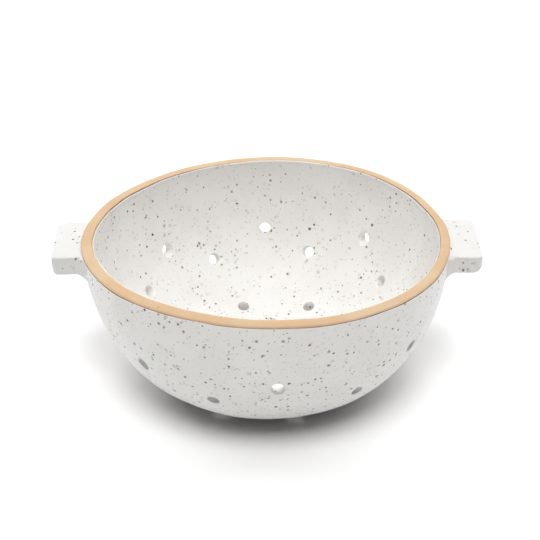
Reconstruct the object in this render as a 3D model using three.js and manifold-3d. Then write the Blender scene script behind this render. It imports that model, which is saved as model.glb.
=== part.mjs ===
// A stoneware colander: a deep thrown bowl with rows of drain holes, a bare clay lip, a low foot ring
// and two slab lug handles, each luted to the wall with a coil of clay that is smoothed to a fillet.
// Millimetres, +Z up. The origin is on the bowl's axis, on the surface that the foot stands on.
// The handles lie along X.

import * as THREE from 'three';
import { mergeVertices } from 'three/addons/utils/BufferGeometryUtils.js';
import Module from 'manifold-3d';

const wasm = await Module();
wasm.setup();

// Bowl
const RIM_RADIUS = 110;
const HEIGHT = 94;
const WALL = 7;
const FLOOR = 7.5;

// How soon each side of the wall turns up, and how square its turn is
const OUTSIDE_RISE = 1.66;
const OUTSIDE_SPREAD = 3.73;
const INSIDE_RISE = 1.57;
const INSIDE_SPREAD = 4.27;

// Bare lip
const LIP_HEIGHT = 3;
const LIP_ROUND = 2;

// Foot ring, and the step from its outside to the start of the curved wall
const FOOT_RADIUS = 51;
const FOOT_WIDTH = 5.5;
const FOOT_HEIGHT = 3;
const FOOT_EDGE = 0.8;
const FOOT_STEP = 1.5;

// Handles: the drop is from the top of the lip to the handle's top face
const HANDLE_REACH = 16.5;
const HANDLE_WIDTH = 46;
const HANDLE_THICKNESS = 11;
const HANDLE_DROP = 3.5;
const HANDLE_CORNER = 7;
const HANDLE_EDGE = 1.8;
const HANDLE_UNDER_ROUND = 5.5;
const COIL_FILLET = 5;
const COIL_OVERCUT = 1.5;

// Drain holes: two rows in the wall, a ring in the turn of the wall, a ring in the floor inside the foot
// and one hole in the middle. A drop is from the top of the lip to the hole's centre on the outside of
// the wall, and a land is the clay left between the foot and the hole. Angles run round the axis from +X.
// The holes are punched by eye, so each strays from its row, by a share of its diameter. The upper row is
// near level, and a pitch is how far down its hole points. The lower row is square to the wall, and all
// the others go straight down.
const HOLE_DIAMETER = 8;
const UPPER_ROW_DROP = 43.5;
const UPPER_ROW_ANGLES = [6, 49, 90, 133, 178, 223.5, 272.5, 323];
const UPPER_ROW_STRAYS = [-0.4, -0.35, 0.15, 0.3, 0.3, 0.4, 0.15, -0.4];
const UPPER_ROW_PITCHES = [6, 6, 6, 6, 0, 0, -4, 0];
const LOWER_ROW_DROP = 61;
const LOWER_ROW_ANGLES = [32, 71.5, 113, 152, 200, 250, 302.5, 348];
const LOWER_ROW_STRAYS = [0.05, -0.25, 0.1, 0.4, 0.15, -0.3, -0.2, 0];
const TURN_RING_LAND = 2.5;
const TURN_RING_ANGLES = [18, 62.5, 105, 149.5, 195, 240.5, 286, 332];
const TURN_RING_STRAYS = [0, 0.2, -0.15, 0, -0.1, 0, 0.05, -0.05];
const FLOOR_RING_COUNT = 8;
const FLOOR_RING_START = 40.5;
const FLOOR_RING_LAND = 1;

// Clearance between pieces that are cut to fit each other
const GAP = 0.3;

// Facets, and how close points are before they are one
const ROUND_SIDES = 64;
const WALL_STEPS = 11;
const HOLE_SIDES = 12;
const ARC_STEPS = 2;
const EDGE_STEPS = 3;
const COIL_STEPS = 28;
const SAME_POINT = 1e-4;

const SEAT_HEIGHT = HEIGHT - LIP_HEIGHT;
const BASE_RADIUS = FOOT_RADIUS + FOOT_STEP;
const HOLE_RADIUS = HOLE_DIAMETER / 2;
const HANDLE_TOP = HEIGHT - HANDLE_DROP;
const HANDLE_TIP = RIM_RADIUS + HANDLE_REACH;
const Y_AXIS = new THREE.Vector3(0, 1, 0);
const Z_AXIS = new THREE.Vector3(0, 0, 1);
const DOWN = new THREE.Vector2(0, -1);

const glaze = new THREE.MeshStandardMaterial({ color: 0xe6e3de, roughness: 0.35, metalness: 0 });
const clay = new THREE.MeshStandardMaterial({ color: 0xd9ac7b, roughness: 0.85, metalness: 0 });

// The wall's two sides are superellipses. A turn of 0 is their low point on the axis, and a right angle
// is the top of the lip.
const baseShare = 1 - (1 - (BASE_RADIUS / RIM_RADIUS) ** OUTSIDE_SPREAD) ** (1 / OUTSIDE_RISE);
const outside = {
  low: (FOOT_HEIGHT - baseShare * HEIGHT) / (1 - baseShare),
  radius: RIM_RADIUS,
  rise: OUTSIDE_RISE,
  spread: OUTSIDE_SPREAD,
};
const inside = {
  low: FOOT_HEIGHT + FLOOR,
  radius: RIM_RADIUS - WALL,
  rise: INSIDE_RISE,
  spread: INSIDE_SPREAD,
};

function curvePoint(curve, turn) {
  const r = curve.radius * Math.sin(turn) ** (2 / curve.spread);
  const z = HEIGHT - (HEIGHT - curve.low) * Math.cos(turn) ** (2 / curve.rise);
  return new THREE.Vector2(r, z);
}

function turnAtRadius(curve, r) {
  return Math.asin((r / curve.radius) ** (curve.spread / 2));
}

function turnAtHeight(curve, z) {
  return Math.acos(((HEIGHT - z) / (HEIGHT - curve.low)) ** (curve.rise / 2));
}

function radiusAtHeight(curve, z) {
  return curvePoint(curve, turnAtHeight(curve, z)).x;
}

function curvePoints(curve, fromTurn, toTurn, steps) {
  const turnAt = (i) => THREE.MathUtils.lerp(fromTurn, toTurn, i / steps);
  return Array.from({ length: steps + 1 }, (_, i) => curvePoint(curve, turnAt(i)));
}

// A solid of revolution about Z from points of radius and height
function turned(profile) {
  return new THREE.LatheGeometry(profile, ROUND_SIDES).rotateX(Math.PI / 2);
}

function toSolid(geometry) {
  const bare = geometry.clone();
  bare.deleteAttribute('normal');
  bare.deleteAttribute('uv');
  const merged = mergeVertices(bare, SAME_POINT);
  const vertProperties = new Float32Array(merged.attributes.position.array);
  const triVerts = new Uint32Array(merged.index.array);
  return new wasm.Manifold(new wasm.Mesh({ numProp: 3, vertProperties, triVerts }));
}

function toGeometry(solid) {
  const mesh = solid.getMesh();
  const geometry = new THREE.BufferGeometry();
  geometry.setAttribute('position', new THREE.BufferAttribute(new Float32Array(mesh.vertProperties), 3));
  geometry.setIndex(new THREE.BufferAttribute(new Uint32Array(mesh.triVerts), 1));
  geometry.computeVertexNormals();
  return geometry;
}

// A drain hole's cutter: its point on the bowl's outside and its way out are given as radius and height
function holeCutter(point, outward, angle) {
  const axis = new THREE.Vector3(outward.x, 0, outward.y).applyAxisAngle(Z_AXIS, angle);
  const centre = new THREE.Vector3(point.x, 0, point.y).applyAxisAngle(Z_AXIS, angle);
  const length = 2 * (WALL + FLOOR);
  const cutter = new THREE.CylinderGeometry(HOLE_RADIUS, HOLE_RADIUS, length, HOLE_SIDES);
  cutter.applyQuaternion(new THREE.Quaternion().setFromUnitVectors(Y_AXIS, axis));
  cutter.translate(centre.x, centre.y, centre.z);
  return toSolid(cutter);
}

function squareOut(turn) {
  const nearby = 1e-4;
  const along = curvePoint(outside, turn + nearby).sub(curvePoint(outside, turn - nearby)).normalize();
  return new THREE.Vector2(along.y, -along.x);
}

function pitchedOut(degrees) {
  const pitch = THREE.MathUtils.degToRad(degrees);
  return new THREE.Vector2(Math.cos(pitch), -Math.sin(pitch));
}

// A row of holes in the wall: `turnAt` gives the turn for a hole that strays by so many millimetres, and
// `outwardAt` the way out for a hole's turn and its number in the row
function wallHoles(angles, strays, turnAt, outwardAt) {
  return angles.map((angle, i) => {
    const turn = turnAt(strays[i] * HOLE_DIAMETER);
    return holeCutter(curvePoint(outside, turn), outwardAt(turn, i), THREE.MathUtils.degToRad(angle));
  });
}

function floorHole(radius, angle) {
  return holeCutter(new THREE.Vector2(radius, FOOT_HEIGHT), DOWN, angle);
}

function drainHoles() {
  const ringEdge = FOOT_RADIUS + TURN_RING_LAND;
  const floorRadius = FOOT_RADIUS - FOOT_WIDTH - FLOOR_RING_LAND - HOLE_RADIUS;
  const floorTurn = (i) => THREE.MathUtils.degToRad(FLOOR_RING_START + (360 * i) / FLOOR_RING_COUNT);
  const upperTurn = (stray) => turnAtHeight(outside, HEIGHT - UPPER_ROW_DROP - stray);
  const lowerTurn = (stray) => turnAtHeight(outside, HEIGHT - LOWER_ROW_DROP - stray);
  const ringTurn = (stray) => turnAtRadius(outside, ringEdge + stray + HOLE_RADIUS);
  return [
    ...wallHoles(UPPER_ROW_ANGLES, UPPER_ROW_STRAYS, upperTurn, (_, i) => pitchedOut(UPPER_ROW_PITCHES[i])),
    ...wallHoles(LOWER_ROW_ANGLES, LOWER_ROW_STRAYS, lowerTurn, squareOut),
    ...wallHoles(TURN_RING_ANGLES, TURN_RING_STRAYS, ringTurn, () => DOWN),
    ...Array.from({ length: FLOOR_RING_COUNT }, (_, i) => floorHole(floorRadius, floorTurn(i))),
    floorHole(0, 0),
  ];
}

function bowlGeometry() {
  const outsideTurns = [turnAtRadius(outside, BASE_RADIUS), turnAtHeight(outside, SEAT_HEIGHT)];
  const insideTurns = [turnAtHeight(inside, SEAT_HEIGHT), 0];
  const profile = [
    new THREE.Vector2(0, FOOT_HEIGHT),
    ...curvePoints(outside, ...outsideTurns, WALL_STEPS),
    ...curvePoints(inside, ...insideTurns, WALL_STEPS),
  ];
  return toGeometry(drainHoles().reduce((bowl, hole) => bowl.subtract(hole), toSolid(turned(profile))));
}

// The lip seats on the flat top of the bowl's wall, and both of its top edges are rounded
function lipGeometry() {
  const outer = radiusAtHeight(outside, SEAT_HEIGHT);
  const inner = radiusAtHeight(inside, SEAT_HEIGHT);
  const round = Math.min(LIP_ROUND, LIP_HEIGHT, (outer - inner) / 2);
  const section = new THREE.Path();
  section.moveTo(inner, SEAT_HEIGHT);
  section.lineTo(outer, SEAT_HEIGHT);
  section.absarc(outer - round, HEIGHT - round, round, 0, Math.PI / 2);
  section.absarc(inner + round, HEIGHT - round, round, Math.PI / 2, Math.PI);
  section.lineTo(inner, SEAT_HEIGHT);
  return turned(section.getPoints(ARC_STEPS));
}

// The foot's bottom edges are softened, and its flat top seats on the underside of the bowl
function footGeometry() {
  const inner = FOOT_RADIUS - FOOT_WIDTH;
  const section = [
    new THREE.Vector2(inner, FOOT_HEIGHT),
    new THREE.Vector2(inner, FOOT_EDGE),
    new THREE.Vector2(inner + FOOT_EDGE, 0),
    new THREE.Vector2(FOOT_RADIUS - FOOT_EDGE, 0),
    new THREE.Vector2(FOOT_RADIUS, FOOT_EDGE),
    new THREE.Vector2(FOOT_RADIUS, FOOT_HEIGHT),
    new THREE.Vector2(inner, FOOT_HEIGHT),
  ];
  return turned(section);
}

// The space inside the bowl's outer surface, grown by the clearance, that cuts what seats on the wall
function wallEnvelope() {
  const points = curvePoints(outside, turnAtRadius(outside, BASE_RADIUS), Math.PI / 2, 2 * WALL_STEPS);
  const grown = points.map(({ x, y }) => new THREE.Vector2(x + GAP, y));
  const profile = [new THREE.Vector2(0, FOOT_HEIGHT), ...grown, new THREE.Vector2(0, HEIGHT)];
  return toSolid(turned(profile));
}

// The handle's slab along +X, from inside the wall to its tip, grown on all sides by a clearance.
// Its plan has round corners, and its lower outer edge is rounded more than the others.
function handleSlab(grow) {
  const root = RIM_RADIUS - HANDLE_WIDTH / 2;
  const tip = HANDLE_TIP + grow;
  const half = HANDLE_WIDTH / 2 + grow;
  const low = HANDLE_TOP - HANDLE_THICKNESS - grow;
  const high = HANDLE_TOP + grow;
  const corner = Math.min(HANDLE_CORNER, half);
  const underRound = Math.min(HANDLE_UNDER_ROUND, high - low);
  const plan = new THREE.Shape();
  plan.moveTo(root, -half);
  plan.lineTo(tip - corner, -half);
  plan.absarc(tip - corner, -half + corner, corner, -Math.PI / 2, 0);
  plan.absarc(tip - corner, half - corner, corner, 0, Math.PI / 2);
  plan.lineTo(root, half);
  const planPrism = new THREE.ExtrudeGeometry(plan, {
    depth: high - low - 2 * HANDLE_EDGE,
    bevelThickness: HANDLE_EDGE,
    bevelSize: HANDLE_EDGE,
    bevelOffset: -HANDLE_EDGE,
    bevelSegments: EDGE_STEPS,
    curveSegments: ARC_STEPS,
  }).translate(0, 0, low + HANDLE_EDGE);
  const side = new THREE.Shape();
  side.moveTo(root, low);
  side.lineTo(tip - underRound, low);
  side.absarc(tip - underRound, low + underRound, underRound, -Math.PI / 2, 0);
  side.lineTo(tip, high);
  side.lineTo(root, high);
  const sidePrism = new THREE.ExtrudeGeometry(side, {
    depth: 2 * half,
    bevelEnabled: false,
    curveSegments: 2 * ARC_STEPS,
  }).rotateX(Math.PI / 2).translate(0, half, 0);
  return toSolid(planPrism).intersect(toSolid(sidePrism));
}

// The line where the handle's two sides and underside meet the wall
class JointLine extends THREE.Curve {
  constructor() {
    super();
    const half = HANDLE_WIDTH / 2;
    const low = HANDLE_TOP - HANDLE_THICKNESS;
    this.outline = new THREE.Path();
    this.outline.moveTo(half, HANDLE_TOP);
    this.outline.lineTo(half, low + HANDLE_EDGE);
    this.outline.absarc(half - HANDLE_EDGE, low + HANDLE_EDGE, HANDLE_EDGE, 0, -Math.PI / 2, true);
    this.outline.absarc(HANDLE_EDGE - half, low + HANDLE_EDGE, HANDLE_EDGE, -Math.PI / 2, -Math.PI, true);
    this.outline.lineTo(-half, HANDLE_TOP);
  }

  getPoint(t, target = new THREE.Vector3()) {
    const { x: y, y: z } = this.outline.getPoint(t);
    return target.set(Math.sqrt(radiusAtHeight(outside, z) ** 2 - y ** 2), y, z);
  }
}

// The luting coil: a hollow fillet swept along the joint. The section's x points into the handle and its
// y into the wall, and it runs into both by the overcut before they cut it back to their clearance.
function coilSolid(envelope) {
  const section = new THREE.Shape();
  section.moveTo(COIL_OVERCUT, COIL_OVERCUT);
  section.lineTo(-COIL_FILLET, COIL_OVERCUT);
  section.lineTo(-COIL_FILLET, 0);
  section.absarc(-COIL_FILLET, -COIL_FILLET, COIL_FILLET, Math.PI / 2, 0, true);
  section.lineTo(COIL_OVERCUT, -COIL_FILLET);
  const swept = new THREE.ExtrudeGeometry(section, {
    steps: COIL_STEPS,
    curveSegments: ARC_STEPS,
    extrudePath: new JointLine(),
  });
  return toSolid(swept).subtract(envelope).subtract(handleSlab(GAP));
}

const colander = new THREE.Group();

function place(name, geometry, material) {
  const mesh = new THREE.Mesh(geometry, material);
  mesh.name = name;
  colander.add(mesh);
  return mesh;
}

place('bowl', bowlGeometry(), glaze);
place('bare_rim', lipGeometry(), clay);
place('foot_ring', footGeometry(), clay);

const envelope = wallEnvelope();
const handleGeometry = toGeometry(handleSlab(0).subtract(envelope));
const coilGeometry = toGeometry(coilSolid(envelope));
for (const [side, turn] of [['right', 0], ['left', Math.PI]]) {
  place(`${side}_handle`, handleGeometry, glaze).rotation.z = turn;
  place(`${side}_handle_coil`, coilGeometry, glaze).rotation.z = turn;
}

export default colander;
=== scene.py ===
import math
from collections import namedtuple

import bpy
import numpy as np
from mathutils import Matrix, Vector, noise
from mathutils.geometry import delaunay_2d_cdt


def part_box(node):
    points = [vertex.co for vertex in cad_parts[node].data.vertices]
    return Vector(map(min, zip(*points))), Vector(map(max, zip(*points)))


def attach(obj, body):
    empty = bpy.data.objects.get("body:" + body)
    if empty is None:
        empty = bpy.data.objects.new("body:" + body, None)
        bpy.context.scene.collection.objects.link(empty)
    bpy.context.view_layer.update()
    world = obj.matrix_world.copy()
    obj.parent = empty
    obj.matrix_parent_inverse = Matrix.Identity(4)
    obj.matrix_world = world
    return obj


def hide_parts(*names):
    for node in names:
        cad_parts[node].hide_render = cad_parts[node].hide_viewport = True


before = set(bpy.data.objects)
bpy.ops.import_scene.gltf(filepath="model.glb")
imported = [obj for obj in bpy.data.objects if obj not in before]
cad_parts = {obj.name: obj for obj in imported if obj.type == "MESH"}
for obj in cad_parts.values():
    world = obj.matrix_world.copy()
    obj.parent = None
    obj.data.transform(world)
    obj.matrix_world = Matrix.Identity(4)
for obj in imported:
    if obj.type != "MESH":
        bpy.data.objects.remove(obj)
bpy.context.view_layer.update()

MM = 0.001
TAU = 2 * math.pi

# The seed that makes the clay's unevenness the same each time
noise.seed_set(7)

# Sizes that the CAD model's pieces give
lip_low, lip_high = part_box("bare_rim")
_, foot_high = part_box("foot_ring")
RIM_RADIUS = lip_high.x
HEIGHT = lip_high.z
SEAT = lip_low.z
FOOT_RADIUS = foot_high.x
FOOT_HEIGHT = foot_high.z

# The rest of the CAD model's shape: the two sides of the wall are superellipses
WALL = 7 * MM
FLOOR = 7.5 * MM
FOOT_WIDTH = 5.5 * MM
BASE_RADIUS = FOOT_RADIUS + 1.5 * MM
BASE_SOFTNESS = 0.9 * MM
OUTSIDE_RISE, OUTSIDE_SPREAD = 1.66, 3.73
INSIDE_RISE, INSIDE_SPREAD = 1.57, 4.27

# Fineness of the meshes: the wall's lines, the skins over them, the sides of a hole, and round the axis
LINE_POINTS = 4000
LINE_STEP = 0.2 * MM
SKIN_STEP = 3 * MM
HOLE_SIDES = 36
ROUND = 420


# Lines and points

def smooth(t):
    t = np.clip(t, 0, 1)
    return t * t * (3 - 2 * t)


def turns(count):
    """Angles at even steps round the axis."""
    return np.arange(count) * TAU / count


def around(r, turn, z):
    """Points at radii, angles round the axis and heights."""
    return np.column_stack(np.broadcast_arrays(r * np.cos(turn), r * np.sin(turn), z))


def arc(r, z, radius, start, end, count):
    """Points of radius and height on an arc about a centre, from one angle in degrees to another."""
    angles = np.radians(np.linspace(start, end, count))
    return [(r + radius * math.cos(t), z + radius * math.sin(t)) for t in angles]


def arc_length(r, z):
    return np.concatenate([[0], np.cumsum(np.hypot(np.diff(r), np.diff(z)))])


# The two sides of the wall

class Skin:
    """One side of the wall: a line of radius and height from the axis to the lip, by its arc length."""

    def __init__(self, r, z, soften=0.0):
        length = arc_length(r, z)
        self.s = np.arange(0, length[-1], LINE_STEP)
        self.r = np.interp(self.s, length, r)
        self.z = np.interp(self.s, length, z)
        if soften:
            # A bell curve along the line, out to three times its width
            reach = int(3 * soften / LINE_STEP)
            kernel = np.exp(-0.5 * (np.arange(-reach, reach + 1) * LINE_STEP / soften) ** 2)
            kernel /= kernel.sum()
            inner = slice(reach, -reach)
            self.r[inner] = np.convolve(self.r, kernel, "valid")
            self.z[inner] = np.convolve(self.z, kernel, "valid")

    def at(self, s):
        return np.interp(s, self.s, self.r), np.interp(s, self.s, self.z)

    def normal(self, s):
        (r0, z0), (r1, z1) = self.at(s - 2 * LINE_STEP), self.at(s + 2 * LINE_STEP)
        length = math.hypot(r1 - r0, z1 - z0)
        return (z1 - z0) / length, (r0 - r1) / length

    def reach_at_height(self, z):
        return float(np.interp(z, self.z, self.s))

    def reach_at_radius(self, r):
        return float(np.interp(r, self.r, self.s))

    def nearest(self, r, z):
        return np.array([self.s[np.argmin((self.r - a) ** 2 + (self.z - b) ** 2)] for a, b in zip(r, z)])


def superellipse(radius, low, rise, spread, start=0.0):
    """A line from the axis, or from a turn past it, up to the lip, with its points closest at the start."""
    turn = start + (math.pi / 2 - start) * np.linspace(0, 1, LINE_POINTS) ** 3
    r = radius * np.sin(turn) ** (2 / spread)
    z = HEIGHT - (HEIGHT - low) * np.clip(np.cos(turn), 0, 1) ** (2 / rise)
    return r, z


# Outside, the flat base cuts the superellipse off above its own lowest point
base_share = 1 - (1 - (BASE_RADIUS / RIM_RADIUS) ** OUTSIDE_SPREAD) ** (1 / OUTSIDE_RISE)
outside_low = (FOOT_HEIGHT - base_share * HEIGHT) / (1 - base_share)
base_turn = math.asin((BASE_RADIUS / RIM_RADIUS) ** (OUTSIDE_SPREAD / 2))
wall_r, wall_z = superellipse(RIM_RADIUS, outside_low, OUTSIDE_RISE, OUTSIDE_SPREAD, base_turn)
outside = Skin(np.append(0, wall_r), np.append(FOOT_HEIGHT, wall_z), soften=BASE_SOFTNESS)
inside = Skin(*superellipse(RIM_RADIUS - WALL, FOOT_HEIGHT + FLOOR, INSIDE_RISE, INSIDE_SPREAD))


# The glaze's edge at the lip

# Where the glaze ends outside and inside, how far it stands on the clay, and how far its inner edge drops
# where the clay beside it is burnt
GLAZE_OUTSIDE = HEIGHT - 2.5 * MM
GLAZE_INSIDE = HEIGHT - 0.55 * MM
GLAZE_THICK = 0.25 * MM
GLAZE_DIP = 0.75 * MM

# How its edges wander up and down: the radius of a circle through the noise and how far the edge moves, and
# the circle's level for each edge
WANDERS = [(7, 0.35 * MM), (24, 0.06 * MM)]
OUTER_LEVEL, INNER_LEVEL = 3.0, 8.0

# Where the clay beside it is burnt dark: degrees round the axis, how narrow the place is and how dark
BURNT_ALL_ROUND = 0.12
BURNT_OUTSIDE = [(315, 3, 0.88), (210, 6, 0.85)]
BURNT_INSIDE = [(15, 4, 0.9), (150, 4, 0.9)]


def lobes(turn, places):
    """The sum of lobes round the axis, each one falling to none a quarter turn away."""
    return sum(most * np.clip(np.cos(turn - math.radians(degrees)), 0, 1) ** narrow
               for degrees, narrow, most in places)


def burnt_outside(turn):
    return BURNT_ALL_ROUND + lobes(turn, BURNT_OUTSIDE)


def burnt_inside(turn):
    return lobes(turn, BURNT_INSIDE)


def glaze_wave(turn, level):
    return np.array([
        sum(rise * noise.noise((wide * math.cos(t), wide * math.sin(t), level)) for wide, rise in WANDERS)
        for t in turn
    ])


def outer_wave(turn):
    return glaze_wave(turn, OUTER_LEVEL)


def inner_wave(turn):
    return glaze_wave(turn, INNER_LEVEL) - GLAZE_DIP * burnt_inside(turn)


# The hand-thrown shape

# How the lip departs from a true ring, in millimetres, outward and upward: the cosine and sine parts of so
# many waves round the axis. It also stands to the back, and its inner side to the right.
LIP_OUTWARD = {0: (-0.37, 0), 2: (0.25, 0.37), 3: (-1.13, -0.09)}
LIP_UPWARD = {0: (0.2, 0), 1: (0.04, -0.46), 2: (-0.8, 0.07)}
LIP_BACK = 1.74
INNER_RIGHT = 0.7

# Lumps in the clay: how many to the metre and how far they stand. Their rise levels out down to the ground.
LUMPS = [(28, 0.45 * MM), (75, 0.12 * MM)]
LEVEL_FROM = 8 * MM


def waves(turn, parts):
    return sum(c * np.cos(k * turn) + s * np.sin(k * turn) for k, (c, s) in parts.items())


def worked(points, hold=1.0):
    """Points of the true round shape, moved as the hand-thrown clay departs from it, most at the lip."""
    p = np.asarray(points, float)
    turn = np.arctan2(p[:, 1], p[:, 0])
    r = np.hypot(p[:, 0], p[:, 1])
    share = hold * np.maximum(p[:, 2] / HEIGHT, 0) ** 3 * MM
    wall_depth = np.clip((np.interp(p[:, 2], outside.z, outside.r) - r) / WALL, 0, 1)
    out = waves(turn, LIP_OUTWARD) + wall_depth * INNER_RIGHT * np.cos(turn)
    moved = p.copy()
    moved[:, 0] += share * out * np.cos(turn)
    moved[:, 1] += share * (out * np.sin(turn) + LIP_BACK)
    moved[:, 2] += share * waves(turn, LIP_UPWARD)
    for i, q in enumerate(p):
        lump = sum((noise.noise_vector(Vector(q) * fine) * rise for fine, rise in LUMPS), Vector())
        moved[i] += np.array(lump) * (1, 1, min(1.0, q[2] / LEVEL_FROM))
    return moved


# Meshes

def put(name, data):
    """A new object in the scene."""
    item = bpy.data.objects.new(name, data)
    bpy.context.scene.collection.objects.link(item)
    return item


def add_mesh(name, points, faces, material, **attributes):
    mesh = bpy.data.meshes.new(name)
    mesh.from_pydata([tuple(p) for p in points], [], [tuple(int(i) for i in f) for f in faces])
    for key, values in attributes.items():
        mesh.attributes.new(key, "FLOAT", "POINT").data.foreach_set("value", np.asarray(values, np.float32))
    mesh.validate()
    mesh.polygons.foreach_set("use_smooth", np.ones(len(mesh.polygons), bool))
    mesh.materials.append(material)
    return put(name, mesh)


def strip(first, second):
    """Quads between two closed rows of as many points."""
    return list(zip(first, np.roll(first, -1), np.roll(second, -1), second))


def join(rows):
    """Quads between each row and the next."""
    return [quad for first, second in zip(rows, rows[1:]) for quad in strip(first, second)]


def rows_of(rows, count):
    return [np.arange(k * count, (k + 1) * count) for k in range(rows)]


# Drain holes

# Angles round the axis from +X, in degrees, and strays from the row, in millimetres.
# The upper row is punched near level, at so many degrees down, and the lower one square to the wall.
# The holes of the ring and of the floor go straight down.
UPPER_DROP = 43.5 * MM
UPPER_ANGLES = [6, 48.5, 90.2, 133.3, 178, 223.5, 272.5, 323.2]
UPPER_STRAYS = [-3.2, -2.8, 1.2, 2.6, 2.4, 3.2, 1.1, -3]
UPPER_PITCHES = [6, 6, 6, 6, 0, 0, -10, 0]
LOWER_DROP = 61 * MM
LOWER_ANGLES = [32.1, 71.4, 113.1, 151.8, 200, 250.1, 302.4, 348]
LOWER_STRAYS = [0.4, -2, 0.9, 3.1, 1.2, -2.4, -1.6, 0]
RING_RADIUS = FOOT_RADIUS + 6.5 * MM
RING_ANGLES = [18, 62.3, 105.1, 149.5, 195, 240.5, 286, 332]
RING_STRAYS = [0, 1.6, -1.2, 0, -0.8, -1.5, -1.5, -0.4]
FLOOR_RADIUS = FOOT_RADIUS - 10.5 * MM
FLOOR_ANGLES = [40.5 + 45 * i for i in range(8)]

# The holes' radii, and how far the round edges of their two mouths spread and how deep they go
UPPER_BORE, LOWER_BORE, FLOOR_BORE = 3.9 * MM, 3.5 * MM, 3.4 * MM
OUTER_MOUTH, OUTER_DEPTH = 0.5 * MM, 0.6 * MM
INNER_MOUTH, INNER_DEPTH = 0.8 * MM, 1.1 * MM
MOUTH_STEPS = 5
BORE_SHARES = [0.33, 0.67]

# How much the radius varies from hole to hole and round each hole, and where in the noise that is found
BORES_VARY, BORES_APART, BORES_AT = 0.05, 7.3, (0.4, 1.7)
SIDES_VARY, SIDES_APART = 0.035, 900

# Painted shade in the bores, as greyer and scanter glaze, at the left and right: twice that at the front, and
# not at the back
BORE_SCANT_AND_SHADE = 0.75

# How far into the wall and out of it a mouth is looked for, from the hole's centre, and in how many halvings
LOOK_IN, LOOK_OUT, HALVINGS = 30 * MM, 12 * MM, 40

Hole = namedtuple("Hole", "centre axis along across bore scant")


def hole_at(number, reach, degrees, outward, bore):
    """A hole at an arc length up the outside and an angle round it, with its axis by radius and height."""
    a = math.radians(degrees)
    r, z = outside.at(reach)
    out_r, out_z = outward
    radial = np.array([math.cos(a), math.sin(a), 0.0])
    upright = np.array([0.0, 0.0, 1.0])
    return Hole(
        centre=r * radial + z * upright,
        axis=out_r * radial + out_z * upright,
        along=out_r * upright - out_z * radial,
        across=np.array([-math.sin(a), math.cos(a), 0.0]),
        bore=bore * (1 + BORES_VARY * noise.noise((BORES_APART * number, *BORES_AT))),
        scant=BORE_SCANT_AND_SHADE * (1 - math.sin(a)),
    )


def drain_holes():
    spots = []
    down = (0.0, -1.0)
    for angle, stray, pitch in zip(UPPER_ANGLES, UPPER_STRAYS, np.radians(UPPER_PITCHES)):
        reach = outside.reach_at_height(HEIGHT - UPPER_DROP - stray * MM)
        spots.append((reach, angle, (math.cos(pitch), -math.sin(pitch)), UPPER_BORE))
    for angle, stray in zip(LOWER_ANGLES, LOWER_STRAYS):
        reach = outside.reach_at_height(HEIGHT - LOWER_DROP - stray * MM)
        spots.append((reach, angle, outside.normal(reach), LOWER_BORE))
    for angle, stray in zip(RING_ANGLES, RING_STRAYS):
        spots.append((outside.reach_at_radius(RING_RADIUS + stray * MM), angle, down, FLOOR_BORE))
    for angle in FLOOR_ANGLES:
        spots.append((FLOOR_RADIUS, angle, down, FLOOR_BORE))
    spots.append((0.0, 0.0, down, FLOOR_BORE))
    return [hole_at(i, *spot) for i, spot in enumerate(spots)]


def pierce(skin, starts, axis):
    """How far along the axis each start meets the skin."""
    low = np.full(len(starts), -LOOK_IN)
    high = np.full(len(starts), LOOK_OUT)
    for _ in range(HALVINGS):
        middle = (low + high) / 2
        p = starts + middle[:, None] * axis
        above = p[:, 2] > np.interp(np.hypot(p[:, 0], p[:, 1]), skin.r, skin.z)
        low = np.where(above, middle, low)
        high = np.where(above, high, middle)
    return (low + high) / 2


def hole_circle(hole, spread):
    turn = turns(HOLE_SIDES)
    spots = [Vector(hole.centre) * SIDES_APART + Vector((math.cos(t), math.sin(t), 0)) for t in turn]
    reach = (hole.bore + spread) * np.array([1 + SIDES_VARY * noise.noise(spot) for spot in spots])
    offset = np.outer(reach * np.cos(turn), hole.along) + np.outer(reach * np.sin(turn), hole.across)
    return hole.centre + offset


def mouth_loop(skin, hole, spread):
    starts = hole_circle(hole, spread)
    return starts + pierce(skin, starts, hole.axis)[:, None] * hole.axis


def on_skin(skin, points):
    r = np.hypot(points[:, 0], points[:, 1])
    return skin.nearest(r, points[:, 2]), np.arctan2(points[:, 1], points[:, 0])


# The bowl

# Points over a skin: a collar about each mouth, the room that the other points leave beyond it and below the
# edge, as a share of their step, the rings that end at the edge, the fewest points to a ring, and how near
# two points are one
COLLAR = 1.1 * MM
ROOM = 0.6
EDGE_RINGS = [1.2 * MM, 0.5 * MM, 0]
FEWEST = 6
SAME_POINT = 1e-9

# The roll of thicker glaze along its edge, and how far below the edge its wander dies out
ROLL_RISE, ROLL_DEPTH, ROLL_FADE = 0.12 * MM, 1.6 * MM, 1.2 * MM
WANDER_FADE = 9 * MM

# How the glaze's two edges curl over on to the lip: over and up from where it ends, in millimetres; and how
# far under the lip's seat the bowl ends
OUTER_CURL = [(0.1, 0.14), (0.28, 0.2), (0.5, 0.1)]
INNER_CURL = [(0.08, 0.16), (0.25, 0.33), (0.5, 0.42), (0.75, 0.42), (0.95, 0.25)]
SEAT_GAP = 0.4 * MM

# Painted shade, as glaze greyer and scanter than inside the bowl: outside at a share of the height, how
# much darker it is at the lip than at the ground, under the bowl, and on the handles
OUTSIDE_SCANT_AND_SHADE, OUTSIDE_LEVEL = 0.36, 0.6
SHADE_RISE_TO_LIP = 0.4
# Under the bowl the painted shade is darkest, which deepens the floor's shadow beneath it
UNDER_SCANT_AND_SHADE = 1.5
UNDER_TOP, UNDER_FADE = 17 * MM, 7 * MM
# On the handles: painted shade that greys their glaze, which also thins out their specks
HANDLE_SCANT_AND_SHADE = 0.68

# Up to where the glaze has run down and pooled inside the bowl, greyer there as painted shade on the
# bowl's lit floor, and over what height that fades
POOL_TOP, POOL_FADE = 38 * MM, 20 * MM

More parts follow.
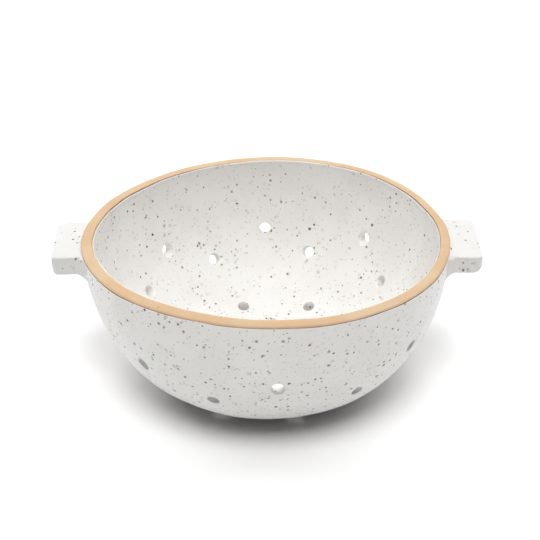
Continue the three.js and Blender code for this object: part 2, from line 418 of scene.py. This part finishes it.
Side = namedtuple("Side", "skin top mouth wave facing curl")
OUTER = Side(outside, GLAZE_OUTSIDE, OUTER_MOUTH, outer_wave, 1, OUTER_CURL)
INNER = Side(inside, GLAZE_INSIDE, INNER_MOUTH, inner_wave, -1, INNER_CURL)


class Sheet:
    """The bowl's mesh as it grows: points, faces, and the painted shade of scant and pooled glaze at each
    point.
    """

    def __init__(self):
        self.points, self.faces, self.scant, self.pooled = [], [], [], []
        self.count = 0

    def add(self, points, scant=0.0, pooled=0.0):
        """Adds points and returns their numbers."""
        first = self.count
        self.count += len(points)
        self.points.append(points)
        self.scant.append(np.broadcast_to(scant, len(points)))
        self.pooled.append(np.broadcast_to(pooled, len(points)))
        return np.arange(first, self.count)


def lay_skin(skin, edge, holes, spread):
    """Points over one side of the wall, as arc lengths and angles.

    The holes' mouths come first, each in order, and the ring at the edge comes last."""
    mouths = [mouth_loop(skin, hole, spread) for hole in holes]
    collars = [mouth_loop(skin, hole, spread + COLLAR) for hole in holes]
    spots = [on_skin(skin, loop) for loop in mouths + collars]
    rings = np.arange(1, round(edge / SKIN_STEP)) * SKIN_STEP
    for k, s in enumerate(rings[rings < edge - ROOM * SKIN_STEP]):
        r, z = skin.at(s)
        count = max(FEWEST, round(TAU * r / SKIN_STEP))
        turn = (np.arange(count) + 0.5 * (k % 2)) * TAU / count
        p = around(r, turn, z)
        away = [np.linalg.norm(p - loop.mean(0), axis=1) - hole.bore for loop, hole in zip(mouths, holes)]
        turn = turn[np.min(away, axis=0) > spread + COLLAR + ROOM * SKIN_STEP]
        spots.append((np.full(len(turn), s), turn))
    spots += [(np.full(ROUND, edge - back), turns(ROUND)) for back in EDGE_RINGS]
    return [np.concatenate(values) for values in zip(*spots)]


def skin_faces(reach, angle, mouths):
    """Triangles between a skin's points, laid out flat, with none across the mouths, which come first."""
    flat = [Vector((s * math.cos(a), s * math.sin(a))) for s, a in zip(reach, angle)]
    edges = []
    for number in range(mouths):
        first = number * HOLE_SIDES
        edges += [(first + j, first + (j + 1) % HOLE_SIDES) for j in range(HOLE_SIDES)]
    _, _, faces, came_from, _, _ = delaunay_2d_cdt(flat, edges, [], 0, SAME_POINT)
    index = [ids[0] for ids in came_from]
    faces = np.array([[index[i] for i in f] for f in faces])
    mouth = np.where(faces < mouths * HOLE_SIDES, faces // HOLE_SIDES, -1)
    across_mouth = (mouth[:, 0] >= 0) & (mouth[:, 0] == mouth[:, 1]) & (mouth[:, 0] == mouth[:, 2])
    return faces[~across_mouth]


# Painted shade on the outside: greyer glaze, darker towards the lip and darkest under the bowl
def outside_scant_and_shade(z):
    plain = OUTSIDE_SCANT_AND_SHADE + SHADE_RISE_TO_LIP * (z / HEIGHT - OUTSIDE_LEVEL)
    return plain + (UNDER_SCANT_AND_SHADE - plain) * smooth((UNDER_TOP - z) / UNDER_FADE)


def bowl_side(sheet, side, holes):
    """One side of the wall up to the glaze's edge: its points and their numbers."""
    edge = side.skin.reach_at_height(side.top)
    reach, angle = lay_skin(side.skin, edge, holes, side.mouth)
    faces = skin_faces(reach, angle, len(holes))
    r, z = side.skin.at(reach)
    roll = ROLL_RISE * smooth((reach - edge + ROLL_DEPTH) / ROLL_FADE)
    wander = side.wave(angle) * smooth((reach - edge + WANDER_FADE) / WANDER_FADE)
    points = around(r + side.facing * roll, angle, z + wander)
    if side is OUTER:
        ids = sheet.add(points, scant=outside_scant_and_shade(points[:, 2]))
        faces = faces[:, ::-1]
    else:
        ids = sheet.add(points, pooled=smooth((POOL_TOP - points[:, 2]) / POOL_FADE))
    sheet.faces += list(ids[faces])
    return points, ids


def bore_wall(sheet, hole, outer, inner, outer_ids, inner_ids):
    """A hole's wall, from the outer mouth's round edge down the bore to the inner mouth's."""
    out_at = (outer - hole.centre) @ hole.axis
    in_at = (inner - hole.centre) @ hole.axis
    bore_start, bore_end = out_at - OUTER_DEPTH, in_at + INNER_DEPTH
    bends = np.arange(1, MOUTH_STEPS + 1) / MOUTH_STEPS * math.pi / 2
    # Painted shade in the bore: greyer in from the outer mouth, fading to none at the inner mouth
    loops = []
    for t in bends:
        bent = 1 - math.cos(t)
        scant = OUTSIDE_SCANT_AND_SHADE + (hole.scant - OUTSIDE_SCANT_AND_SHADE) * bent
        loops.append((OUTER_MOUTH * (1 - math.sin(t)), out_at - OUTER_DEPTH * bent, scant))
    for share in BORE_SHARES:
        loops.append((0.0, bore_start + share * (bore_end - bore_start), hole.scant * (1 - share)))
    for t in bends[::-1]:
        loops.append((INNER_MOUTH * (1 - math.sin(t)), in_at + INNER_DEPTH * (1 - math.cos(t)), 0.0))
    rows = [outer_ids]
    for spread, along, scant in loops:
        rows.append(sheet.add(hole_circle(hole, spread) + np.outer(along, hole.axis), scant))
    rows.append(inner_ids)
    sheet.faces += join(rows[::-1])


def glaze_edge(sheet, side, edge, edge_ids):
    """The glaze's edge, curled over on to the clay, and the drop from it to the seat: the seat's row."""
    over = -side.facing * around(1.0, turns(ROUND), 0.0)
    rows = [edge_ids]
    for inward, up in side.curl:
        rows.append(sheet.add(edge + inward * MM * over + (0, 0, up * MM)))
    seat = edge + side.curl[-1][0] * MM * over
    seat[:, 2] = SEAT - SEAT_GAP
    rows.append(sheet.add(seat))
    sheet.faces += join(rows if side is OUTER else rows[::-1])
    return rows[-1]


def make_bowl(material):
    sheet = Sheet()
    holes = drain_holes()
    outer, outer_ids = bowl_side(sheet, OUTER, holes)
    inner, inner_ids = bowl_side(sheet, INNER, holes)
    for number, hole in enumerate(holes):
        mouth = slice(number * HOLE_SIDES, (number + 1) * HOLE_SIDES)
        bore_wall(sheet, hole, outer[mouth], inner[mouth], outer_ids[mouth], inner_ids[mouth])
    outer_seat = glaze_edge(sheet, OUTER, outer[-ROUND:], outer_ids[-ROUND:])
    inner_seat = glaze_edge(sheet, INNER, inner[-ROUND:], inner_ids[-ROUND:])
    sheet.faces += strip(outer_seat, inner_seat)
    return add_mesh(
        "bowl_glazed", worked(np.concatenate(sheet.points)), sheet.faces, material,
        scant=np.concatenate(sheet.scant), pooled=np.concatenate(sheet.pooled))


# The bare lip and the bare foot

# The lip's round edges outside and inside, its crown, and a point down its inner side
LIP_OUT_ROUND, LIP_IN_ROUND = 1.3 * MM, 0.8 * MM
LIP_CROWN = 0.15 * MM
LIP_IN_LOW = 1.6 * MM

# Points of the lip's section: up its outer side, over the two round edges, and shares of the way between
LIP_SIDE_POINTS, LIP_OUT_POINTS, LIP_IN_POINTS = 4, 9, 7
LIP_TOP_SHARES = [0.25, 0.5, 0.75]

# How far the lip slopes down outward at the left and right: twice that at the front, and not at the back
LIP_SLOPE = 0.4 * MM

# Its bumps: how far they stand, and the radius and level of a circle through the noise
BUMP_RISE, BUMP_FINE, BUMP_LEVEL = 0.12 * MM, 14, 2.0

# How far past its end the glaze's curl covers the lip
CURL_COVER = 0.1 * MM

# The foot's round edges and the points of each, and how far it counts as from the glaze, in millimetres
FOOT_ROUND, FOOT_POINTS = 1.1 * MM, 6
FOOT_FROM_GLAZE = 5.0


def lathe(name, rows, material, **attributes):
    """A closed ring from rows of points round the axis."""
    ids = rows_of(len(rows), len(rows[0]))
    return add_mesh(name, worked(np.concatenate(rows)), join(ids + ids[:1]), material, **attributes)


def lip_section(out_r, in_r):
    """The lip's outline from the seat outside, over the top, to the seat inside."""
    out_top, in_top = out_r - LIP_OUT_ROUND, in_r + LIP_IN_ROUND
    section = [(out_r, z) for z in np.linspace(SEAT, HEIGHT - LIP_OUT_ROUND, LIP_SIDE_POINTS)]
    section += arc(out_top, HEIGHT - LIP_OUT_ROUND, LIP_OUT_ROUND, 0, 90, LIP_OUT_POINTS)[1:]
    for share in LIP_TOP_SHARES:
        crown = LIP_CROWN * math.sin(share * math.pi)
        section.append((out_top + share * (in_top - out_top), HEIGHT + crown))
    section += arc(in_top, HEIGHT - LIP_IN_ROUND, LIP_IN_ROUND, 90, 180, LIP_IN_POINTS)
    section += [(in_r, HEIGHT - LIP_IN_LOW), (in_r, SEAT)]
    return np.array(section)


def make_lip(material):
    turn = turns(ROUND)
    out_r = outside.at(outside.reach_at_height(GLAZE_OUTSIDE))[0] - GLAZE_THICK
    in_r = inside.at(inside.reach_at_height(GLAZE_INSIDE))[0] + GLAZE_THICK
    out_top, in_top = out_r - LIP_OUT_ROUND, in_r + LIP_IN_ROUND
    section = lip_section(out_r, in_r)
    length = arc_length(*section.T)
    out_line = GLAZE_OUTSIDE - SEAT + outer_wave(turn) + CURL_COVER
    in_line = length[-1] - (GLAZE_INSIDE - SEAT + inner_wave(turn) + CURL_COVER)
    spots = [(BUMP_FINE * math.cos(t), BUMP_FINE * math.sin(t), BUMP_LEVEL) for t in turn]
    bumps = BUMP_RISE * np.array([noise.noise(spot) for spot in spots])
    slope = LIP_SLOPE * (1 - np.sin(turn))
    rows, edges, burns = [], [], []
    for (r, z), s in zip(section, length):
        outward = np.clip((r - in_top) / (out_top - in_top), 0, 1)
        lift = (bumps - slope * outward) * smooth((z - SEAT) / (HEIGHT - SEAT))
        rows.append(around(r, turn, z + lift))
        edges.append(np.minimum(s - out_line, in_line - s) / MM)
        burns.append((burnt_outside if s < length[-1] / 2 else burnt_inside)(turn))
    return lathe("lip_bare", rows, material, edge=np.concatenate(edges), burn=np.concatenate(burns))


def make_foot(material):
    turn = turns(ROUND // 2)
    in_r = FOOT_RADIUS - FOOT_WIDTH
    section = [(in_r, FOOT_HEIGHT)]
    section += arc(in_r + FOOT_ROUND, FOOT_ROUND, FOOT_ROUND, 180, 270, FOOT_POINTS)
    section.append((in_r + FOOT_WIDTH / 2, 0.0))
    section += arc(FOOT_RADIUS - FOOT_ROUND, FOOT_ROUND, FOOT_ROUND, 270, 360, FOOT_POINTS)
    section.append((FOOT_RADIUS, FOOT_HEIGHT))
    rows = [around(r, turn, z) for r, z in section]
    count = len(rows) * len(turn)
    return lathe("foot_bare", rows, material, edge=np.full(count, FOOT_FROM_GLAZE), burn=np.zeros(count))


# The handles

# The round corners of the tip, seen from above, and the round edges on top and along the sides
HANDLE_BACK_CORNER = 7 * MM
HANDLE_FRONT_CORNER = 3 * MM
HANDLE_TOP_EDGE = 0.9 * MM
HANDLE_SIDE_EDGE = 1.0 * MM

# The flare into the wall: its size below and at the sides, its size on top, how far up the faces look where
# it starts to grow, and its curve
FLARE = 5 * MM
FLARE_TOP = 0.6 * MM
FLARE_FACE = 0.75
FLARE_CURVE = 2 / 1.5

# How far the handle is sunk into the wall, and how far its flare stands clear of it
SUNK = 0.8 * MM
CLEAR = 0.02 * MM

# How much the tip shares in the wall's departure from the true round shape
TIP_HOLD = 0.4

# Points to a corner and along the long and short sides of the section, and steps along the handle
CORNER_POINTS, LONG_SIDE, SHORT_SIDE = 6, 14, 4
FLARE_ROWS, TIP_ROWS = 11, 16
ARM_SHARES = [0.35, 0.7, 1.0]

# Each one rests on its CAD node, on side 1 at the right and -1 at the left. Its front and back sides
# and its whole are moved, its underside sagged, and the edge under its tip got a round of some reach and
# rise.
Handle = namedtuple("Handle", "name node side front back lift sag under")


def round_box(front, back, low, high, edge):
    """A rectangle with round corners across the handle: points of Y and Z, and the way each one faces."""
    corners = [(back - edge, high - edge, 0), (front + edge, high - edge, 90),
               (front + edge, low + edge, 180), (back - edge, low + edge, 270)]
    spots = []
    for i, (y, z, start) in enumerate(corners):
        for t in np.radians(np.linspace(start, start + 90, CORNER_POINTS)):
            face_y, face_z = math.cos(t), math.sin(t)
            spots.append(np.array([y + edge * face_y, z + edge * face_z, face_y, face_z]))
        next_y, next_z, _ = corners[(i + 1) % len(corners)]
        last = spots[-1]
        way = np.array([next_y + edge * last[2], next_z + edge * last[3], last[2], last[3]]) - last
        count = LONG_SIDE if i % 2 == 0 else SHORT_SIDE
        spots += [last + k / count * way for k in range(1, count)]
    return np.array(spots)


def drawn_in(depth, reach, rise):
    """How far a rounded edge has drawn in, at a depth from the face it leads to."""
    near = np.clip(1 - depth / reach, 0, 1)
    return rise * (1 - math.sqrt(1 - near * near))


def wall_x(y, z):
    """How far to the side the wall's outside is."""
    r = np.interp(z, outside.z, outside.r)
    return np.sqrt(r * r - y * y)


def arm_rows(root, tip):
    """Rows from inside the wall out along the flare and the arm, and how much each one holds to the wall."""
    y, z, face_y, face_z = root.T
    flare = FLARE_TOP + (FLARE - FLARE_TOP) * smooth((FLARE_FACE - face_z) / FLARE_FACE)
    rows = []
    for t in np.linspace(0, math.pi / 2, FLARE_ROWS):
        spread = flare * (1 - math.sin(t) ** FLARE_CURVE)
        out = flare * (1 - math.cos(t) ** FLARE_CURVE)
        wide_y, wide_z = y + spread * face_y, z + spread * face_z
        if t == 0:
            rows.append((np.column_stack([wall_x(wide_y, wide_z) - SUNK, wide_y, wide_z]), 1.0))
        rows.append((np.column_stack([wall_x(wide_y, wide_z) + out + CLEAR, wide_y, wide_z]), 1.0))
    start = wall_x(y, z) + flare
    for share in ARM_SHARES:
        x = start + share * (tip - HANDLE_BACK_CORNER - start)
        rows.append((np.column_stack([x, y, z]), 1 - (1 - TIP_HOLD) * share))
    return rows


def tip_rows(front, back, low, high, under, tip):
    """Rows over the tip, where the corners and edges round in."""
    rows = []
    for t in np.linspace(0, math.pi / 2, TIP_ROWS)[1:]:
        depth = HANDLE_BACK_CORNER * (1 - math.sin(t))
        section = round_box(
            front + drawn_in(depth, HANDLE_FRONT_CORNER, HANDLE_FRONT_CORNER),
            back - drawn_in(depth, HANDLE_BACK_CORNER, HANDLE_BACK_CORNER),
            low + drawn_in(depth, *under),
            high - drawn_in(depth, HANDLE_TOP_EDGE, HANDLE_TOP_EDGE),
            HANDLE_SIDE_EDGE,
        )
        rows.append((np.insert(section[:, :2], 0, tip - depth, axis=1), TIP_HOLD))
    return rows


def make_handle(handle, material):
    low_corner, high_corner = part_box(handle.node)
    tip = max(abs(low_corner.x), abs(high_corner.x))
    front = low_corner.y + handle.front
    back = high_corner.y + handle.back
    low = low_corner.z + handle.lift - handle.sag
    high = high_corner.z + handle.lift
    root = round_box(front, back, low, high, HANDLE_SIDE_EDGE)
    rows = arm_rows(root, tip) + tip_rows(front, back, low, high, handle.under, tip)
    ids = rows_of(len(rows), len(root))
    faces = [ids[-1], ids[0][::-1]] + join(ids)
    if handle.side < 0:
        faces = [f[::-1] for f in faces]
    points = np.concatenate([worked(row * (handle.side, 1, 1), hold) for row, hold in rows])
    return add_mesh(handle.name, points, faces, material, scant=np.full(len(points), HANDLE_SCANT_AND_SHADE))


# Materials

# Colours of the glaze and of the specks in it
WHITE = (0.83, 0.82, 0.795, 1)
CREAM = (0.80, 0.78, 0.755, 1)
PALE_GREEN = (0.80, 0.815, 0.79, 1)
# Greys of painted shade on the glaze, where it is scant and where it has pooled
SHADE_GREY = (0.42, 0.412, 0.4, 1)
POOL_SHADE_GREY = (0.42, 0.42, 0.415, 1)
SMEAR_BROWN = (0.36, 0.31, 0.27, 1)
FINE_BROWN = (0.24, 0.19, 0.16, 1)
IRON_BLACK = (0.06, 0.05, 0.046, 1)
IRON_BROWN = (0.17, 0.10, 0.07, 1)

# Colours of the clay and of the floor's paper
PALE_CLAY = (0.632, 0.466, 0.304, 1)
TAN_CLAY = (0.60, 0.412, 0.248, 1)
YELLOW_CLAY = (0.618, 0.468, 0.285, 1)
SAND_BROWN = (0.55, 0.3, 0.13, 1)
CRUMB_BROWN = (0.2, 0.1, 0.05, 1)
BURNT_BROWN = (0.16, 0.07, 0.028, 1)
PAPER_WHITE = (0.955, 0.955, 0.955, 1)
PAPER_GREY = (0.94, 0.94, 0.94, 1)

# Fineness of the patterns, in waves to the metre: the glaze's clouds, tints, crowds of specks, gloss and
# ripples, then the clay's patches, blush, sand and burnt line, and the paper
CLOUDS, TINTS, CROWDS, GLOSS, RIPPLES = 45, 24, 100, 130, 190
PATCHES, BLUSH, SAND, BURNT_WANDER, PAPER = 34, 75, 1500, 160, 3

# How many layers of finer noise the rougher patterns have, and how rough the sandy ones are
LAYERS, SANDY = 3.0, 0.6

# The middle of what a noise gives, where in it each pattern starts and is full, and how much of it shows then
MIDDLE = (0.3, 0.7)
CLOUD_SPAN, CROWD_SPAN, PATCH_SPAN = (0.35, 0.68), (0.3, 0.68), (0.36, 0.66)
TINT_SPAN, TINT_MOST = (0.55, 0.75), 0.5
BLUSH_SPAN, BLUSH_MOST = (0.56, 0.75), 0.6
SAND_SPAN, SAND_MOST = (0.52, 0.8), 0.35

# The chances by which a dark speck turns brown and a crumb in the clay shows
BROWN_SPAN, CRUMB_SPAN = (0.6, 1.0), (0.5, 1.0)

# Specks: the cells that hold one each, the least and greatest radius, how soft the edge is, and how faint
# and strong they are by chance
Speck = namedtuple("Speck", "cell small large soft faint strong")
SMEAR = Speck(3.8 * MM, 0.2 * MM, 1.1 * MM, 0.6 * MM, 0.1, 0.45)
FINE = Speck(2.5 * MM, 0.12 * MM, 0.45 * MM, 0.2 * MM, 0.3, 0.85)
DARK = Speck(3.6 * MM, 0.13 * MM, 0.76 * MM, 0.2 * MM, 0.55, 1.0)
CRUMB = Speck(3.4 * MM, 0.05 * MM, 0.5 * MM, 0.15 * MM, 0.0, 0.6)

# More specks are small than large, by this power of chance
SMALLER = 1.6

# Their ragged outlines: how fine, in waves to the metre, and how far they move
SMEAR_RAGGED = (500, 2.2 * MM)
SPECK_RAGGED = (900, 0.7 * MM)

# How the specks' size varies from place to place, on the floor and outside, as a factor
CROWD_RANGE = (0.7, 1.35)
POOL_CROWD = 0.9
OUTSIDE_CROWD = 1.2

# The share of the specks that the handles and the underside lack, by how scant the glaze is there
FEW_FROM, FEW_TO = 0.55, 0.65
LACKING = 0.62
LACKING_FADE = 0.04

# How far the tone goes to grey as painted shade, where the glaze is scant and where it has pooled
SHADE_SHARE, POOL_SHADE_SHARE = 0.45, 0.16

# Roughness of the glaze, what scant glaze and a dark speck add to it, and that of the clay
GLAZE_ROUGH, SCANT_ROUGH, DARK_ROUGH = (0.46, 0.58), -0.15, 0.2
CLAY_ROUGH = (0.72, 0.92)

# Relief of the glaze, with how far a dark speck is sunk in it, and of the clay
GLAZE_RELIEF, GLAZE_BUMP, DARK_SUNK = 0.16 * MM, 0.35, 0.35
CLAY_RELIEF, CLAY_BUMP = 0.12 * MM, 0.5

# The burnt line on the clay: how far from the glaze it starts and is full, and how far that strays, in
# millimetres
BURNT_START, BURNT_FULL, BURNT_STRAY = 1.2, 0.75, 0.14


class Nodes:
    """Adds nodes to a material's tree, with their inputs given by name or place."""

    def __init__(self, name):
        self.material = bpy.data.materials.new(name)
        self.material.use_nodes = True
        self.tree = self.material.node_tree
        self.shader = self.tree.nodes["Principled BSDF"]

    def add(self, kind, inputs=None, **settings):
        node = self.tree.nodes.new(kind)
        for key, value in settings.items():
            setattr(node, key, value)
        for key, value in (inputs or {}).items():
            self.set(node.inputs[key], value)
        return node

    def set(self, socket, value):
        if isinstance(value, bpy.types.NodeSocket):
            self.tree.links.new(value, socket)
        else:
            socket.default_value = value

    def finish(self, **inputs):
        """Sets the shader's inputs, named with _ for a space."""
        for key, value in inputs.items():
            self.set(self.shader.inputs[key.replace("_", " ")], value)
        return self.material

    def math(self, operation, a, b):
        return self.add("ShaderNodeMath", {0: a, 1: b}, operation=operation).outputs[0]

    def noise(self, place, scale, detail=2.0, roughness=0.5, output="Fac"):
        given = {"Vector": place, "Scale": scale, "Detail": detail, "Roughness": roughness}
        return self.add("ShaderNodeTexNoise", given).outputs[output]

    def ranged(self, value, low, high, to_low=0.0, to_high=1.0, kind="SMOOTHSTEP"):
        given = {"Value": value, "From Min": low, "From Max": high, "To Min": to_low, "To Max": to_high}
        return self.add("ShaderNodeMapRange", given, interpolation_type=kind).outputs["Result"]

    def mix(self, share, a, b):
        """A colour between two: the sockets of that kind come after those for plain values and vectors."""
        return self.add("ShaderNodeMix", {0: share, 6: a, 7: b}, data_type="RGBA").outputs[2]

    def place(self):
        return self.add("ShaderNodeTexCoord").outputs["Object"]

    def attribute(self, name):
        return self.add("ShaderNodeAttribute", attribute_name=name).outputs["Fac"]

    def vector(self, operation, a, b):
        second = "Scale" if operation == "SCALE" else 1
        return self.add("ShaderNodeVectorMath", {0: a, second: b}, operation=operation).outputs[0]

    def jittered(self, place, scale, reach):
        wander = self.noise(place, scale, 1.0, output="Color")
        centred = self.vector("ADD", wander, (-0.5, -0.5, -0.5))
        return self.vector("ADD", place, self.vector("SCALE", centred, reach))

    def bump(self, height, strength, distance):
        given = {"Height": height, "Strength": strength, "Distance": distance}
        return self.add("ShaderNodeBump", given).outputs[0]


def grains(n, place, speck, crowd):
    """Round grains scattered through space, in cells: how much of a grain is here, and two chance values."""
    cell = speck.cell
    cells = n.add("ShaderNodeTexVoronoi", {"Vector": place, "Scale": 1 / cell})
    chance = n.add("ShaderNodeSeparateColor", {"Color": cells.outputs["Color"]})
    size = n.math("POWER", chance.outputs[0], SMALLER)
    radius = n.ranged(size, 0.0, 1.0, speck.small / cell, speck.large / cell, "LINEAR")
    radius = n.math("MULTIPLY", radius, crowd)
    past = n.math("SUBTRACT", cells.outputs["Distance"], radius)
    return n.ranged(past, speck.soft / cell, -speck.soft / cell), chance.outputs[1], chance.outputs[2]


def specks(n, place, speck, crowd, sparse):
    """Grains between faint and strong by chance, without the share that is lacking, and their shade."""
    grain, pick, shade = grains(n, place, speck, crowd)
    opaque = n.math("MULTIPLY", grain, n.ranged(pick, 0.0, 1.0, speck.faint, speck.strong, "LINEAR"))
    return n.math("MULTIPLY", opaque, n.ranged(n.math("SUBTRACT", pick, sparse), 0.0, LACKING_FADE)), shade


def glaze_tone(n, place, scant, pooled):
    """Clouded white, warmer or greener in places, and greyer with painted shade where it is scant and where
    it has pooled.
    """
    colour = n.mix(n.ranged(n.noise(place, CLOUDS, LAYERS), *CLOUD_SPAN), WHITE, CREAM)
    tint = n.add("ShaderNodeSeparateColor", {"Color": n.noise(place, TINTS, output="Color")})
    colour = n.mix(n.ranged(tint.outputs[0], *TINT_SPAN, 0.0, TINT_MOST), colour, PALE_GREEN)
    # Painted shade: greyer where the glaze is scant, and where it has pooled
    colour = n.mix(n.math("MULTIPLY", scant, SHADE_SHARE), colour, SHADE_GREY)
    return n.mix(n.math("MULTIPLY", pooled, POOL_SHADE_SHARE), colour, POOL_SHADE_GREY)


def glaze_material():
    n = Nodes("speckled_glaze")
    place = n.place()
    scant, pooled = n.attribute("scant"), n.attribute("pooled")
    colour = glaze_tone(n, place, scant, pooled)

    # The specks, from the faint ones under the glaze to the dark ones on it
    crowd = n.ranged(n.noise(place, CROWDS), *CROWD_SPAN, *CROWD_RANGE, "LINEAR")
    crowd = n.math("MULTIPLY", crowd, n.ranged(pooled, 0.0, 1.0, 1.0, POOL_CROWD))
    sparse = n.ranged(scant, FEW_FROM, FEW_TO, 0.0, LACKING)
    smear, _ = specks(n, n.jittered(place, *SMEAR_RAGGED), SMEAR, crowd, sparse)
    colour = n.mix(smear, colour, SMEAR_BROWN)
    crowd = n.math("MULTIPLY", crowd, n.ranged(scant, 0.0, OUTSIDE_SCANT_AND_SHADE, 1.0, OUTSIDE_CROWD))
    ragged = n.jittered(place, *SPECK_RAGGED)
    fine, _ = specks(n, ragged, FINE, crowd, sparse)
    colour = n.mix(fine, colour, FINE_BROWN)
    dark, shade = specks(n, ragged, DARK, crowd, sparse)
    colour = n.mix(dark, colour, n.mix(n.ranged(shade, *BROWN_SPAN), IRON_BLACK, IRON_BROWN))

    # Satin inside, glossier where the glaze is scant, and matt and sunk on the dark specks
    rough = n.ranged(n.noise(place, GLOSS, LAYERS), *MIDDLE, *GLAZE_ROUGH, "LINEAR")
    rough = n.math("ADD", rough, n.ranged(scant, 0.0, OUTSIDE_SCANT_AND_SHADE, 0.0, SCANT_ROUGH))
    rough = n.math("ADD", rough, n.math("MULTIPLY", dark, DARK_ROUGH))
    relief = n.math("SUBTRACT", n.noise(place, RIPPLES), n.math("MULTIPLY", dark, DARK_SUNK))
    bump = n.bump(relief, GLAZE_BUMP, GLAZE_RELIEF)
    return n.finish(Base_Color=colour, Roughness=rough, IOR=1.47, Normal=bump)


def clay_material():
    n = Nodes("bare_clay")
    place = n.place()
    colour = n.mix(n.ranged(n.noise(place, PATCHES, LAYERS), *PATCH_SPAN), PALE_CLAY, TAN_CLAY)
    colour = n.mix(n.ranged(n.noise(place, BLUSH), *BLUSH_SPAN, 0.0, BLUSH_MOST), colour, YELLOW_CLAY)
    sand = n.noise(place, SAND, LAYERS, SANDY)
    colour = n.mix(n.ranged(sand, *SAND_SPAN, 0.0, SAND_MOST), colour, SAND_BROWN)
    crumb, pick, _ = grains(n, n.jittered(place, *SPECK_RAGGED), CRUMB, 1.0)
    strength = n.ranged(pick, *CRUMB_SPAN, CRUMB.faint, CRUMB.strong)
    colour = n.mix(n.math("MULTIPLY", crumb, strength), colour, CRUMB_BROWN)

    # The burnt line beside the glaze, by the millimetres from its edge
    wander = n.noise(place, BURNT_WANDER, LAYERS, SANDY)
    wander = n.ranged(wander, *MIDDLE, -BURNT_STRAY, BURNT_STRAY, "LINEAR")
    line = n.ranged(n.math("ADD", n.attribute("edge"), wander), BURNT_START, BURNT_FULL)
    colour = n.mix(n.math("MULTIPLY", line, n.attribute("burn")), colour, BURNT_BROWN)
    rough = n.ranged(sand, *MIDDLE, *CLAY_ROUGH, "LINEAR")
    bump = n.bump(sand, CLAY_BUMP, CLAY_RELIEF)
    return n.finish(Base_Color=colour, Roughness=rough, Specular_IOR_Level=0.3, Normal=bump)


def floor_material():
    n = Nodes("studio_floor")
    colour = n.mix(n.noise(n.place(), PAPER), PAPER_WHITE, PAPER_GREY)
    return n.finish(Base_Color=colour, Roughness=0.9, Specular_IOR_Level=0.0)


# The pieces

glaze = glaze_material()
clay = clay_material()

bowl = make_bowl(glaze)
lip = make_lip(clay)
foot = make_foot(clay)
right = make_handle(Handle(
    "handle_right", "right_handle", 1, front=-0.8 * MM, back=3.6 * MM, lift=0.3 * MM, sag=-0.2 * MM,
    under=(6 * MM, 6.5 * MM)), glaze)
left = make_handle(Handle(
    "handle_left", "left_handle", -1, front=2.2 * MM, back=2.4 * MM, lift=0.6 * MM, sag=0.5 * MM,
    under=(3 * MM, 5 * MM)), glaze)

for piece, slot, nodes in (
    (bowl, "glaze", ["bowl"]),
    (lip, "clay", ["bare_rim"]),
    (foot, "clay", ["foot_ring"]),
    (right, "glaze", ["right_handle", "right_handle_coil"]),
    (left, "glaze", ["left_handle", "left_handle_coil"]),
):
    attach(piece, "root")
    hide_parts(*nodes)


# The floor

FLOOR_SIZE = 12.0
corner = FLOOR_SIZE / 2
corners = [(-corner, -corner, 0), (corner, -corner, 0), (corner, corner, 0), (-corner, corner, 0)]
floor_mesh = bpy.data.meshes.new("studio_floor")
floor_mesh.from_pydata(corners, [], [(0, 1, 2, 3)])
floor_mesh.materials.append(floor_material())
floor = put("studio_floor", floor_mesh)

# Lamps: degrees round from the front to the right, degrees up, strength, and degrees that each one fills
LAMPS = {
    "front": (0, 65, 1.95, 30),
    "top": (0, 85, 0.35, 35),
    "left": (-130, 50, 1.17, 50),
    "right": (130, 50, 1.05, 50),
}
for name, (side, up, strength, wide) in LAMPS.items():
    side, up = math.radians(side), math.radians(up)
    lamp = bpy.data.lights.new(name, "SUN")
    lamp.energy = strength
    lamp.angle = math.radians(wide)
    ray = Vector((-math.sin(side) * math.cos(up), math.cos(side) * math.cos(up), -math.sin(up)))
    put(name, lamp).rotation_euler = ray.to_track_quat("-Z", "Y").to_euler()

# The room: a pale backdrop, high behind the object and lower towards the front, and a dark ceiling
WALL_LIGHT, CEILING_LIGHT = 0.87, 0.0
WALL_TOP, CEILING_START = 0.17, 0.25
WALL_TILT = 0.7
world = bpy.data.worlds.new("studio")
bpy.context.scene.world = world
world.use_nodes = True
tree = world.node_tree
way = tree.nodes.new("ShaderNodeTexCoord")
height = tree.nodes.new("ShaderNodeVectorMath")
height.operation = "DOT_PRODUCT"
height.inputs[1].default_value = (0, -WALL_TILT, 1)
fade = tree.nodes.new("ShaderNodeMapRange")
for key, value in (("From Min", WALL_TOP), ("From Max", CEILING_START),
                   ("To Min", WALL_LIGHT), ("To Max", CEILING_LIGHT)):
    fade.inputs[key].default_value = value
sky = tree.nodes["Background"]
sky.inputs["Color"].default_value = (1, 1, 1, 1)
tree.links.new(way.outputs["Generated"], height.inputs[0])
tree.links.new(height.outputs["Value"], fade.inputs["Value"])
tree.links.new(fade.outputs["Result"], sky.inputs["Strength"])

# The camera, fitted to the photograph's outline: its turn round the object, its height and its distance
CAMERA_TURN = math.radians(-0.9)
CAMERA_HEIGHT = math.radians(28.734)
CAMERA_REACH = 1.0
CAMERA_TARGET = Vector((1.53 * MM, 0, 70.76 * MM))
SENSOR_WIDTH, LENS = 36, 110.83
FARTHEST = 20
camera = bpy.data.cameras.new("camera")
camera.sensor_width = SENSOR_WIDTH
camera.lens = LENS
camera.clip_end = FARTHEST
camera_at = put("camera", camera)
turned = Matrix.Rotation(CAMERA_TURN, 3, "Z")
backward = Vector((0, -math.cos(CAMERA_HEIGHT), math.sin(CAMERA_HEIGHT)))
camera_at.location = turned @ (CAMERA_TARGET + CAMERA_REACH * backward)
camera_at.rotation_euler = (turned @ -backward).to_track_quat("-Z", "Y").to_euler()
bpy.context.scene.camera = camera_at
bpy.context.scene.view_settings.view_transform = "Standard"
